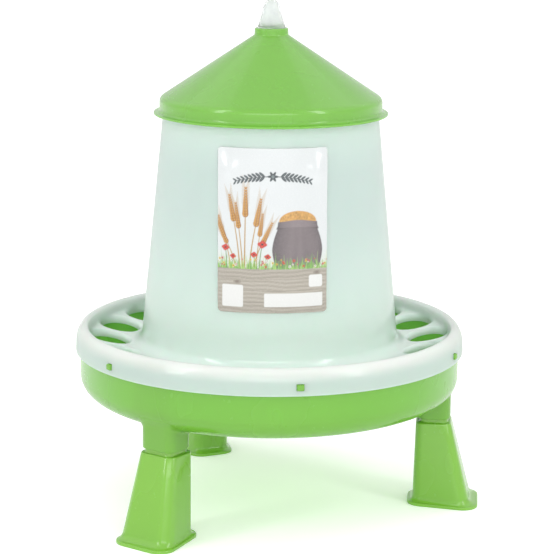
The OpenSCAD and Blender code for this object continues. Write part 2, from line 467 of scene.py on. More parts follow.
@dataclass(frozen=True)
class MilkyPlastic:
    """Thin undyed plastic that lets light through but blurs what is behind it."""

    name: str = "milky_translucent_plastic"
    shade: Rgb = (0.615, 0.712, 0.698)
    light: Rgb = (0.650, 0.738, 0.725)
    # Paler tint painted as light on the hopper's shaded foot, the grille bars and the top under the
    # lid.
    painted_light_pale: Rgb = (0.810, 0.925, 0.875)
    # Near-white painted highlight for the ring's crest.
    painted_crest_highlight: Rgb = (0.93, 0.92, 0.935)
    inside: Rgb = (0.93, 0.94, 0.94)
    roughness: float = 0.25
    through: float = 0.56

    def material(self) -> bpy.types.Material:
        """Cloudy colour, with a painted highlight that whitens the crest and painted light that
        pales the foot, the grille bars and the wall near the top, and light from behind.

        Returns:
            The material.
        """
        g = Graph(self.name)
        at = g.place()
        radius, z = g.radius_and_height(at)
        # Painted highlight: the ring's crest is painted near white where the lights reflect on it.
        crest = radius.ramp(0.1375, 0.1425) * z.ramp(0.128, 0.138)
        cloud = g.noise(at, 9.0, 3.0)
        flow = g.noise(g.stretched(at, (1.0, 1.0, 0.3)), 26.0, 2.0)
        grain = g.noise(at, 2200.0, 2.0)
        ripple = g.noise(at, 24.0, 1.0)
        body = g.mix(cloud * 0.7 + flow * 0.3, rgba(self.shade), rgba(self.light))
        # Painted light: the hopper's foot and grille bars, shaded by the ring, and the wall near
        # the top, shaded by the lid's hem, are painted paler.
        inner = 1.0 - radius.ramp(0.134, 0.141)
        ends = (1.0 - z.ramp(0.1235, 0.2465)) * inner + z.ramp(0.2635, 0.3055) * 0.6
        grille = (1.0 - z.ramp(0.133, 0.150)) * inner
        colour = g.mix(crest, g.mix(ends, body, rgba(self.painted_light_pale)), rgba(self.painted_crest_highlight))
        rough = cloud * 0.04 + flow * 0.03 + (self.roughness - 0.035)
        normal = g.bump(grain * 0.02 + ripple * 1.5, 0.00004)
        solid = g.principled({
            "Base Color": colour, "Roughness": rough, "Normal": normal, "IOR": 1.49,
            "Subsurface Weight": 1.0, "Subsurface Radius": (0.8, 1.0, 0.9),
            "Subsurface Scale": 0.003, "Coat Weight": 0.8, "Coat Roughness": 0.07})
        share = self.through - grille * 0.24
        return g.finish_thin(solid, share, {"Color": rgba(self.inside), "Normal": normal})


@dataclass(frozen=True)
class ClearPlastic:
    """Clear, faintly grey plastic."""

    name: str = "clear_plastic"
    tint: Rgb = (0.95, 0.975, 0.965)
    haze: Rgb = (0.97, 0.98, 0.98)
    roughness: float = 0.05

    def material(self) -> bpy.types.Material:
        """Glassy, with faint mould haze and ripples.

        Returns:
            The material.
        """
        g = Graph(self.name)
        at = g.place()
        cloud = g.noise(at, 240.0, 3.0)
        ripple = g.noise(g.stretched(at, (1.0, 1.0, 0.25)), 420.0, 2.0)
        clear = g.principled({
            "Base Color": rgba(self.tint), "Roughness": cloud * 0.10 + self.roughness,
            "Normal": g.bump(ripple, 0.00006), "IOR": 1.30, "Transmission Weight": 0.95})
        return g.finish_thin(clear, cloud * 0.12 + 0.24, {"Color": rgba(self.haze)})


@dataclass(frozen=True)
class PrintedFilm:
    """Glossy film with a print held in the mesh's colour attribute."""

    name: str = "printed_film"
    attribute: str = "print"
    black: Rgb = (0.02, 0.02, 0.02)

    def material(self) -> bpy.types.Material:
        """The print under a clear gloss, with fine screen grain and faint creases.

        Returns:
            The material.
        """
        g = Graph(self.name)
        at = g.place()
        ink = g.node("ShaderNodeVertexColor", {"layer_name": self.attribute}, None, "Color")
        grain = g.noise(at, 1800.0, 2.0)
        tone = g.mix(grain * 0.05 + 0.31, ink, rgba(self.black))
        crease = g.noise(g.stretched(at, (1.0, 1.0, 0.3)), 70.0, 3.0)
        return g.finish(g.principled({
            "Base Color": tone, "Roughness": grain * 0.06 + 0.24,
            "Normal": g.bump(crease * 3.0 + grain * 0.1, 0.00006), "IOR": 1.5,
            "Coat Weight": 0.9, "Coat Roughness": 0.04}))


@dataclass(frozen=True)
class StudioFloor:
    """Pale seamless floor."""

    name: str = "pale_floor"
    colour: Rgb = (0.96, 0.96, 0.96)
    lift: float = 0.20

    def material(self) -> bpy.types.Material:
        """Matte, all but even, lit a little from below as a white sweep is.

        Returns:
            The material.
        """
        g = Graph(self.name)
        soft = g.noise(g.place(), 2.0)
        colour = g.mix(soft, rgba(self.colour), rgba(tuple(c * 0.995 for c in self.colour)))
        return g.finish(g.principled({
            "Base Color": colour, "Roughness": 0.7, "Specular IOR Level": 0.1,
            "Emission Color": rgba((1.0, 1.0, 1.0)), "Emission Strength": self.lift}))


# ---- moulded pieces --------------------------------------------------------

# Columns of a turned skin, and the numbers of snap tabs and of legs
COLUMNS = 180
TABS = 6
LEGS = 3


@dataclass
class Lid:
    """Steep round lid with a collar for the cap, a band and a flared lip. Lengths in mm."""

    bore_r: float = 8.3
    collar_r: float = 12.6
    collar_z: float = 366.8
    roof_r: float = 14.2
    roof_z: float = 360.8
    slope: float = 0.662
    eave_r: float = 84.5
    lip_r: float = 89.0
    foot_z: float = 302.0
    wall: float = 2.2

    def roof(self, r: float) -> float:
        """Height of the roof's outside: a straight cone."""
        return self.roof_z - (r - self.roof_r) * self.slope

    def profile(self) -> Array:
        """Section of the wall, once round: bore, collar, roof, band, lip and back inside.

        Returns:
            Points (r, z), open at the bore.
        """
        under = self.wall * math.hypot(1, self.slope)
        inner_r = self.eave_r - self.wall
        foot, lip = self.foot_z, self.lip_r
        seat = self.roof(self.collar_r) - under
        return rounded_path([
            (self.bore_r, 363.0), (self.bore_r, self.collar_z, 0.6),
            (self.collar_r, self.collar_z, 0.9),
            (self.collar_r + 0.25, self.roof(self.collar_r + 0.25), 1.3),
            (self.eave_r, self.roof(self.eave_r), 5.4), (self.eave_r + 0.2, foot + 2.4, 2.4),
            (lip, foot + 1.4, 0.45), (lip, foot, 0.55), (lip - self.wall, foot, 0.6),
            (inner_r, foot + 2.7, 1.5), (inner_r, self.roof(inner_r) - under, 3.2),
            (self.collar_r, seat, 0.4), (self.bore_r, seat, 0.4), (self.bore_r, 362.9)])

    def build(self, finish: MouldedPlastic) -> None:
        """Turns the profile about the axis and dresses the lid."""
        shell = Shell("lid_moulding")
        shell.add(turned(self.profile(), ring_angles(COLUMNS)), round_rows=True)
        place(shell.build(), Body.LID, Slot.GREEN, finish.material(), "lid")


@dataclass
class ClearCap:
    """Hollow clear cap pushed into the lid's collar. Lengths in mm."""

    foot_r: float = 10.5
    seat_z: float = 366.8
    height: float = 21.7
    plug_r: float = 8.15
    plug_h: float = 7.5
    wall: float = 1.2

    def profile(self) -> Array:
        """Section from the tip down the outside, round the plug and up the inside to the tip.

        Returns:
            Points (r, z) from pole to pole.
        """
        z0, r0, h, t = self.seat_z, self.foot_r, self.height, self.wall
        ledge = z0 + 0.70 * h
        dome = arc(0, ledge + 0.5, 0.55 * r0, 0.3 * h - 0.5, 90, 8, 14)
        side = pulled((0.63 * r0, ledge - 1.4), (r0 - 2.4, z0 + 0.35 * h), (r0 - 0.6, z0 + 2.2), 12)
        outer = np.concatenate([dome, [[0.60 * r0, ledge + 0.4], [0.62 * r0, ledge]], side,
                                [[r0 - 0.25, z0 + 1.4], [r0, z0 + 1.0], [r0, z0 + 0.1]]])
        plug = rounded_path([(self.plug_r, z0), (self.plug_r, z0 - self.plug_h, 0.4),
                             (self.plug_r - t, z0 - self.plug_h, 0.4), (self.plug_r - t, z0 + 1.6)])
        inner = beside(outer[:-4], -t)[::-1]
        inner = inner[(inner[:, 0] > 0.4) & (inner[:, 1] > z0 + 2.4)]
        return np.concatenate([outer, plug, inner, [[0, z0 + h - t]]])

    def build(self, finish: ClearPlastic) -> None:
        """Turns the profile, whose two ends are poles, and dresses the cap."""
        shell = Shell("clear_cap")
        shell.add(turned(self.profile(), ring_angles(96)))
        place(shell.build(30.0), Body.LID, Slot.CLEAR, finish.material(), "finial_cap")


@dataclass
class HopperMoulding:
    """Hopper and feeding ring in one moulding. Lengths in mm, angles in degrees."""

    base_r: float = 98.8
    base_z: float = 131.8
    taper: float = 0.0988
    foot_z: float = 105.5
    top_z: float = 313.6
    wall: float = 2.2
    grille_r: float = 109.5
    grille_z: float = 125.8
    slope: float = 12.0
    bar: float = 2.6
    rim: tuple[float, float] = (138.1, 131.88)
    crest: tuple[float, float] = (142.7, 139.5)
    ring_r: float = 150.0
    skirt_z: float = 120.1
    inner_r: float = 105.0
    outer_r: float = 139.4
    holes: int = 18
    hole_angle: float = 13.4
    hole_half: tuple[float, float] = (18.0, 14.7)
    hole_r: float = 123.7
    side_radii: tuple[float, ...] = (109, 113.5, 118.5, 123.7, 128.5, 132.5, 135.5, 137.3, 138.5)
    edge: tuple[float, float] = (3.2, 3.4)
    collar: tuple[float, float] = (6.0, 2.0)
    window_angle: float = 8.6
    window: tuple[float, float, float] = (6.0, 124.0, 129.1)

    def hopper_at(self, z: Union[float, Array]) -> Union[float, Array]:
        """Outer radius of the hopper at a height: a straight taper."""
        return self.base_r + (self.base_z - z) * self.taper

    def grille_at(self, r: Union[float, Array]) -> Union[float, Array]:
        """Height of the grille's flat top at a radius: a shallow cone that rises outwards."""
        return self.grille_z + (r - self.grille_r) * math.tan(math.radians(self.slope))

    def upper(self) -> Array:
        """Section of the top side from the hopper's rim, down to the grille and up to the crest.

        Returns:
            Points (r, z), from the hopper outwards.
        """
        corner_z = self.grille_at(99.4)
        cr, cz = self.crest
        return np.concatenate([
            rounded_path([(self.hopper_at(310), 310), (self.hopper_at(corner_z), corner_z, 9.0),
                          (*self.rim, 3.2), (139.75, 136.1)], 20),
            arc(cr, cz - 2.6, 2.7, 2.6, 168, 100, 9)])

    def lower(self, r: float) -> float:
        """Height of the grille's underside: the top cone, one bar thickness lower."""
        return self.grille_at(r) - self.bar

    def tube(self) -> Array:
        """Section of the hopper's wall from the grille's top, over the rim, to its underside.

        Returns:
            Points (r, z).
        """
        upper = self.upper()
        start = [[self.inner_r, np.interp(self.inner_r, upper[:, 0], upper[:, 1])]]
        foot = upper[(upper[:, 0] < self.inner_r) & (upper[:, 1] < 145)][::-1]
        t, z0, z1 = self.wall, self.foot_z, self.top_z
        under = self.lower(100.0)
        levels = np.linspace(150, 300, 16)
        rest = rounded_path([
            (self.hopper_at(311), 311), (self.hopper_at(z1), z1, 0.8),
            (self.hopper_at(z1) - t, z1, 0.8), (self.hopper_at(z0) - t, z0, 0.6),
            (self.hopper_at(z0), z0, 0.9), (self.hopper_at(under), under, 2.2),
            (self.inner_r, self.lower(self.inner_r))])
        wall = np.stack([self.hopper_at(levels), levels], -1)
        return np.concatenate([start, foot, wall, rest])

    def rim_path(self) -> tuple[Array, Array]:
        """Sections of the rim: outside from the grille over the crest, then inside back again.

        Returns:
            The outside's and the inside's points (r, z).
        """
        top = self.upper()
        cr, cz = self.crest
        low, high = self.window[1:]
        skirt_r, inside_r = self.ring_r - 0.2, self.ring_r - self.wall
        round_out, round_in = 14, 11.7
        middle_z = cz - round_out

        def at_window(radius: float) -> float:
            """Angle at which a rounding of this radius reaches the windows' upper edge."""
            return math.degrees(math.asin((high - middle_z) / radius))

        outer = np.concatenate([
            [[self.outer_r, np.interp(self.outer_r, top[:, 0], top[:, 1])]],
            top[top[:, 0] > self.outer_r + 0.02],
            arc(cr, middle_z, skirt_r - cr, round_out, 88, at_window(round_out), 16),
            [[skirt_r, low]],
            rounded_path([(skirt_r, low - 0.6), (self.ring_r - 0.05, self.skirt_z + 1.6),
                          (self.ring_r, self.skirt_z, 0.75), (inside_r, self.skirt_z, 0.6),
                          (inside_r, low - 0.4)])])
        inner = np.concatenate([
            [[inside_r, low]],
            arc(cr + 0.4, middle_z, inside_r - cr - 0.4, round_in, at_window(round_in), 86, 12),
            [[142.0, 136.1], [141.2, 133.7], [self.outer_r + 0.3, 130.1],
             [self.outer_r, self.lower(self.outer_r)]]])
        return outer, inner

    def tile(self, shell: Shell, angle: float) -> None:
        """One sector of the grille with its feeding hole.

        The hole is an ellipse with a collar. Moving out from it by e (1 - cos t), the surface
        climbs to the grille's top, less h (1 - sin t), so the bars between holes are arches; e
        shrinks where the rim is near. Below, the collar ends in a round lip, and its back rises
        to the underside. Straight rows join both to the sector's border.

        Args:
            shell: the skin that takes the sector.
            angle: the hole's angle in degrees.
        """
        half = 180.0 / self.holes
        across = np.linspace(-half, half, 11)[:-1]
        radii = np.array([self.inner_r, *self.side_radii, self.outer_r])
        edge = np.ones(len(across))
        a = np.radians(np.concatenate([across, edge * half, -across, -edge * half]))
        r = np.concatenate([edge * self.inner_r, radii[:-1], edge * self.outer_r, radii[:0:-1]])
        border = np.stack([r * np.sin(a), r * np.cos(a) - self.hole_r], -1)
        hx, hy = self.hole_half
        turn = np.arctan2(border[:, 1] / hy, border[:, 0] / hx)
        hole = np.stack([hx * np.cos(turn), hy * np.sin(turn)], -1)
        normal = np.stack([np.cos(turn) / hx, np.sin(turn) / hy], -1)
        normal /= np.linalg.norm(normal, axis=1, keepdims=True)
        room = np.einsum("ij,ij->i", border - hole, normal)[None, :, None]
        depth, wall = self.collar
        width, wall = np.minimum(self.edge[0], 0.85 * room), np.minimum(wall, 0.55 * room)
        t = np.linspace(np.pi / 2, 0, 8)[:, None, None]
        a = np.linspace(0, np.pi, 7)[:, None, None]
        share = np.linspace(0, 1, 6)[:-1, None, None]
        ledge = hole + normal * width
        back = hole + normal * (wall + 0.35 * (room - wall))
        rows = np.concatenate([
            border + (ledge - border) * share, hole + normal * width * (1 - np.cos(t)),
            hole + normal * wall / 2 * (1 - np.cos(a)), hole + normal * wall, back,
            back + (border - back) * 0.5, border[None]])
        radius = np.hypot(rows[..., 0], rows[..., 1] + self.hole_r)
        top_path = self.upper()
        top, cone = np.interp(radius, top_path[:, 0], top_path[:, 1]), self.grille_at(radius)
        drop = self.edge[1] * (1 - np.sin(t[:, :, 0]))
        lip = depth - 0.8 + 0.8 * np.sin(a[:, :, 0])
        z = np.concatenate([top[:5], top[5:13] - drop, cone[13:20] - lip,
                            cone[20:21] - self.bar - 0.6, cone[21:] - self.bar])
        shell.add(on_ray(rows[..., 0], rows[..., 1] + self.hole_r, z, angle))

    def windows(self, shell: Shell, outer: Array, inner: Array, columns: Array) -> None:
        """The rim, with six windows in its skirt.

        Near each window the columns are turned by a share of a degree, growing from the crest
        down, so that two of them run along the window's sides. The cell between them is left
        out of both sides of the wall and a short tunnel joins its corners.

        Args:
            shell: the skin that takes the rim.
            outer, inner: the sections from rim_path.
            columns: angles of the turned columns in radians.
        """
        width, _, high = self.window
        path = np.concatenate([outer, inner])
        fade = np.clip((self.crest[1] - path[:, 1]) / 9.0, 0, 1)[:, None]
        angles = np.repeat(columns[None], len(path), axis=0)
        at = np.degrees(columns)
        mask = np.zeros((len(path) - 1, len(columns)), bool)
        first_row, last_row = len(outer), len(outer) + 1
        outer_row = int(np.argmax(np.isclose(outer[:, 1], high) & (outer[:, 0] > self.crest[0])))
        half = math.degrees(width / 2 / self.ring_r)
        for k in range(TABS):
            middle = self.window_angle + 360 / TABS * k
            left = int(np.argmin(np.abs((at - (middle - 1) + 180) % 360 - 180)))
            right = (left + 1) % len(columns)
            for column, target in ((left, middle - half), (right, middle + half)):
                shift = (target - at[column] + 180) % 360 - 180
                angles[:, column] += math.radians(shift) * fade[:, 0]
            mask[outer_row, left] = mask[first_row, left] = True
            sides = [left, right, right, left]
            for_depth = ([outer_row] * 2 + [outer_row + 1] * 2, [last_row] * 2 + [first_row] * 2)
            shell.add(np.stack([turned(path[rows], angles[rows, sides])[range(4), range(4)]
                                for rows in for_depth]))
        shell.add(turned(path, angles), skip=mask)

    def build(self, finish: MilkyPlastic) -> None:
        """Joins the hopper's wall, the sectors and the rim in one closed skin and dresses it.

        Args:
            finish: the plastic that it is made of.
        """
        shell = Shell("hopper_moulding")
        columns = ring_angles(COLUMNS, self.hole_angle + 180.0 / self.holes)
        shell.add(turned(self.tube(), columns))
        for k in range(self.holes):
            self.tile(shell, self.hole_angle + k * 360.0 / self.holes)
        self.windows(shell, *self.rim_path(), columns)
        place(shell.build(50.0), Body.HOPPER, Slot.MILKY, finish.material(),
              "hopper", "feeding_ring")


@dataclass
class Pan:
    """Round pan with a feed cone, three leg sockets and six snap tabs. Lengths in mm."""

    cone_tip: tuple[float, float] = (6.0, 122.6)
    cone_foot: tuple[float, float] = (84.0, 83.9)
    wall: float = 2.4
    top: tuple[float, float] = (145.2, 134.9)
    radius: float = 146.5
    leg_angle: float = 84.3
    socket_r: float = 129.2
    socket: tuple[float, float] = (30.0, 25.5)
    socket_round: float = 7.0
    socket_wall: float = 1.6
    socket_z: float = 69.2
    pocket_z: float = 80.9
    blend: float = 4.2
    tab_angle: float = 8.6
    tab: tuple[float, float] = (5.2, 4.4)
    tab_z: float = 126.5
    tab_r: float = 151.4

    def underside(self) -> Array:
        """Section of the outside, from the hollow of the cone to the top edge of the wall.

        Returns:
            Points (r, z) outwards from the axis.
        """
        return np.concatenate([
            [[0.0, 123.6]],
            rounded_path([(1.5, 123.6), (*self.cone_tip, 3.0), (*self.cone_foot, 5.0),
                          (89.5, 81.5, 6.0), (112.0, 81.9, 30.0), (124.0, 83.1)], 8),
            pulled((134.0, 85.1), (145.0, 89.5), (146.45, 99.5), 18),
            [[self.radius, 105.5], [self.radius, 116.5], [self.radius, 127.7],
             [146.35, 129.5], self.top]])

    def bowl(self) -> Array:
        """Whole section: the underside, a rounded top edge and the inside, one wall away.

        Returns:
            Points (r, z) from pole to pole.
        """
        outer = self.underside()
        inner = beside(outer, self.wall)[::-1]
        inner = inner[inner[:, 0] > 0.8]
        tr, tz = self.top
        edge = arc(tr - self.wall / 2, tz, self.wall / 2, 0.9, 10, 170, 6)
        return np.concatenate([outer, edge, inner, [[0.0, 126.0]]])

    def socket_outline(self) -> tuple[Array, Array]:
        """Outline of a socket and its outward normals.

        Each corner is a quarter circle of the socket's corner radius; three extra points, with
        the normal of the corner before them, divide each side.

        Returns:
            The points, around the socket's middle, and a normal for each.
        """
        radius = self.socket_round
        ways = np.array([(1, 1), (-1, 1), (-1, -1), (1, -1)])
        centres = ways * (np.array(self.socket) / 2 - radius)
        angle = np.radians(np.linspace(0, 90, 9)) + np.arange(4)[:, None] * math.pi / 2
        normal = np.stack([np.cos(angle), np.sin(angle)], -1)
        corner = centres[:, None] + radius * normal
        last, following = corner[:, -1:], np.roll(corner[:, 0], -1, axis=0)[:, None]
        sides = last + (following - last) * np.array([0.25, 0.5, 0.75])[None, :, None]
        outline = np.concatenate([corner, sides], axis=1)
        facing = np.concatenate([normal, np.repeat(normal[:, -1:], 3, axis=1)], axis=1)
        return outline.reshape(-1, 2), facing.reshape(-1, 2)

    def socket_shell(self, angle: float) -> Array:
        """A leg socket that flows into the pan.

        The wall rises from the mouth. Near the pan it leaves the outline by b (1 - cos t) while
        it climbs the last b sin t to the pan's own curve, and then it ends inside the pan's
        wall. The mouth's lip is rounded and the pocket is a smaller outline under a roof.

        Args:
            angle: the socket's angle in degrees.

        Returns:
            A grid of points, closed at both ends.
        """
        under, axis = self.underside(), np.array([0, self.socket_r])
        outline, normal = self.socket_outline()

        def on_pan(at: Array, margin: float, lift: Union[float, Array]) -> tuple[Array, Array]:
            """Points pulled in to the pan's radius less a margin, at its underside plus lift.

            Args:
                at: points around the socket's middle.
                margin: distance kept from the pan's radius.
                lift: height over the underside.

            Returns:
                The points and their heights.
            """
            reach = np.hypot(at[:, 0], at[:, 1] + self.socket_r)
            squeeze = np.minimum(1.0, (self.radius - margin) / reach)[:, None]
            at = (at + axis) * squeeze - axis
            r = np.minimum(np.hypot(at[:, 0], at[:, 1] + self.socket_r), self.radius - 0.12)
            return at, np.interp(r, under[:, 0], under[:, 1]) + lift

        def level(at: Array, z: float) -> tuple[Array, Array]:
            """Points at one height."""
            return at, np.full(len(at), z)

        rows = [on_pan((outline + normal * (self.blend + 0.3)) * share, 0.3, 0.8)
                for share in (0.0, 0.35, 0.7, 1.0)]
        rows += [on_pan(outline + normal * self.blend * (1 - math.cos(t)), 0.15,
                        0.02 - self.blend * (1 - math.sin(t)))
                 for t in np.radians(np.linspace(90, 0, 9))]
        rows += [level(outline - normal * self.socket_wall / 2 * (1 - math.cos(t)),
                       self.socket_z + 0.9 * (1 - math.sin(t)))
                 for t in np.radians(np.linspace(0, 180, 9))]
        rows += [level(outline - normal * (self.socket_wall + more), self.pocket_z - drop)
                 for more, drop in ((0, 1.2), (0.4, 0.4), (1.2, 0))]
        rows += [level(outline * share, self.pocket_z) for share in (0.4, 0.0)]
        x, y = np.stack([at for at, _ in rows]).transpose(2, 0, 1)
        return on_ray(x, y + self.socket_r, np.stack([z for _, z in rows]), angle)

    def snap_tab(self, angle: float) -> Array:
        """A small pad with a domed face: a rounded square that shrinks as it nears its face.

        Args:
            angle: the tab's angle in degrees.

        Returns:
            A grid of points, closed at both ends.
        """
        w, h = self.tab
        a = np.arange(32) * math.pi / 16
        c, s = np.cos(a), np.sin(a)
        x = np.sign(c) * np.abs(c) ** 0.35 * w / 2
        z = np.sign(s) * np.abs(s) ** 0.35 * h / 2
        size = np.array([0.0, 1.0, 1.0, 0.97, 0.88, 0.70, 0.40, 0.0])[:, None]
        depth = np.array([6.4, 6.4, 1.5, 0.8, 0.32, 0.1, 0.0, 0.0])[:, None]
        y = np.broadcast_to(self.tab_r - depth, (len(size), len(a)))
        return on_ray(x * size, y, self.tab_z + z * size, angle)

    def build(self, finish: MouldedPlastic) -> None:
        """Turns the bowl, adds sockets and tabs as closed skins sunk in its wall, dresses it.

        Args:
            finish: the plastic that it is made of.
        """
        shell = Shell("pan_moulding")
        shell.add(turned(self.bowl(), ring_angles(COLUMNS)))
        for k in range(LEGS):
            shell.add(self.socket_shell(self.leg_angle + 360 / LEGS * k))
        for k in range(TABS):
            shell.add(self.snap_tab(self.tab_angle + 360 / TABS * k))
        place(shell.build(40.0), Body.BASE, Slot.GREEN, finish.material(), "pan")


@dataclass
class Leg:
    """Hollow leg with a spigot, a square shoulder and a wide flanged foot. Lengths in mm."""

    node: str
    body: Body
    angle: float
    socket_r: float = 129.2
    spigot: tuple[float, float, float] = (26.0, 21.5, 5.0)
    spigot_z: float = 80.5
    shoulder_z: float = 66.0
    roof_z: float = 78.3
    flange: float = 2.6
    fillet: float = 4.6
    wall: float = 2.2

    def outline(self, low: float, high: float, half_in: float, half_out: float, r: float) -> Array:
        """Rounded outline of a leg at one height, from its faces and its corner radius.

        The corner centres make a trapezium; each corner is an arc between the normals of the
        two sides that meet there, and four extra points divide each side.

        Args:
            low, high: distance of the inner and the outer face from the axis.
            half_in, half_out: half widths of those faces.
            r: corner radius.

        Returns:
            Points (across, out) once round.
        """
        centres = np.array([(half_out - r, high - r), (r - half_out, high - r),
                            (r - half_in, low + r), (half_in - r, low + r)])
        side = np.roll(centres, -1, axis=0) - centres
        facing = np.arctan2(-side[:, 0], side[:, 1])
        t = np.linspace(0, 1, 9)[:, None]
        start = np.roll(facing, 1)
        sweep = (facing - start + 2 * math.pi) % (2 * math.pi)
        angle = start + t * sweep
        corner = centres + r * np.stack([np.cos(angle), np.sin(angle)], -1)
        following = np.roll(corner[0], -1, axis=0)
        share = np.linspace(0, 1, 6)[1:-1, None, None]
        sides = corner[-1] + (following - corner[-1]) * share
        return np.concatenate([corner, sides]).transpose(1, 0, 2).reshape(-1, 2)

    def section(self, z: float, inset: float = 0.0) -> Array:
        """Outline of the body at a height: a straight blend from shoulder to floor.

        Args:
            z: height in mm.
            inset: how far inside the body's face.

        Returns:
            Points (across, out) once round.
        """
        t = z / self.shoulder_z
        low, high = 113.8 + 1.5 * t, 159.2 - 16.7 * t
        half_in, half_out, r = 15.8, 23.2 - 7.4 * t, 9 - 2.5 * t
        return self.outline(low + inset, high - inset, half_in - inset, half_out - inset, r - inset)

    def foot(self, grow: float) -> Array:
        """Outline of the flange, made larger all round by grow."""
        return self.outline(109.64 - grow, 164.56 + grow, 19.36 + grow, 24.96 + grow, 12 + grow)

    def neck(self, inset: float) -> Array:
        """Outline of the spigot, made smaller all round by inset."""
        w, h, r = self.spigot
        r0, r1 = self.socket_r - h / 2 + inset, self.socket_r + h / 2 - inset
        return self.outline(r0, r1, w / 2 - inset, w / 2 - inset, max(r - inset, 0.6))

    def rows(self) -> list[tuple[Array, float]]:
        """Outlines and heights from the spigot's top, down the outside and up the cavity.

        The fillet goes from the body's outline to the flange's by the share 1 - cos t while it
        drops by f sin t; the flange's edge is rounded above and nearly sharp below.

        Returns:
            Pairs of an outline and its height.
        """
        top, shoulder, t, roof = self.spigot_z, self.shoulder_z, self.wall, self.roof_z
        middle = np.array([0.0, self.socket_r])

        def shrunk(outline: Array, share: float) -> Array:
            """The outline drawn in to its middle by a share."""
            return middle + (outline - middle) * share

        rows = [(shrunk(self.neck(2), 0.0), top), (shrunk(self.neck(2), 0.5), top)]
        rows += [(self.neck(inset), z) for inset, z in
                 ((1.6, top), (0.5, top - 0.35), (0, top - 1.4), (0, 74.0), (0, shoulder + 1.2),
                  (-0.12, shoulder + 0.5), (-0.5, shoulder + 0.1))]
        rows += [(self.section(shoulder, inset), shoulder - drop) for inset, drop in
                 ((1.1, 0.0), (0.95, 0.0), (0.6, 0.06), (0.3, 0.22), (0.1, 0.5), (0.0, 0.95))]
        rows += [(self.section(z), z) for z in (64.3, 52.0, 39.0, 26.0, 14.0, 9.0)]
        fillet, deck = self.fillet, self.flange
        for a in np.radians(np.linspace(0, 90, 9)):
            z = deck + fillet * (1 - math.sin(a))
            inner = self.section(z)
            rows.append((inner + (self.foot(-0.9) - inner) * (1 - math.cos(a)), z))
        rows += [(self.foot(-0.9 + 0.9 * math.sin(a)), deck - 0.9 * (1 - math.cos(a)))
                 for a in np.radians((22.5, 45, 67.5, 90))]
        rows += [(self.foot(0), 0.5), (self.foot(-0.12), 0.14)]
        mouth = self.section(0.0, t - 0.5)
        edge = self.foot(-0.45)
        rows += [(edge + (mouth - edge) * s, 0.0) for s in (0.0, 0.1, 0.5, 0.92, 1.0)]
        rows += [(self.section(0.0, t - 0.1), 0.25), (self.section(0.8, t), 0.8)]
        rows += [(self.section(z, t), z) for z in (15.0, 30.0, 45.0, 62.0)]
        rows += [(self.section(z, t + more), z) for more, z in ((0.5, 63.3), (1.4, 63.8))]
        rows += [(self.neck(t + more), z) for more, z in
                 ((0.3, 64.1), (0, 64.9), (0, 76.5), (0.4, 77.7), (1.4, roof))]
        rows += [(shrunk(self.neck(t + 1.4), 0.5), roof), (shrunk(self.neck(2), 0.0), roof)]
        return rows

    def build(self, finish: bpy.types.Material) -> None:
        """Lays a skin through the outlines, closed at both poles, and dresses the leg.

        Args:
            finish: the legs' shared material.
        """
        rows = self.rows()
        points = np.stack([outline for outline, _ in rows])
        z = np.array([height for _, height in rows])[:, None]
        shell = Shell(f"{self.node}_moulding")
        shell.add(on_ray(points[..., 0], points[..., 1], z, self.angle))
        place(shell.build(38.0), self.body, Slot.GREEN, finish, self.node)


# ---- printed label ---------------------------------------------------------


def blend(first: Rgb, second: Rgb, share: Array) -> Array:
    """Colours between two colours, by an array of shares."""
    return np.array(first) + (np.array(second) - np.array(first)) * share[..., None]


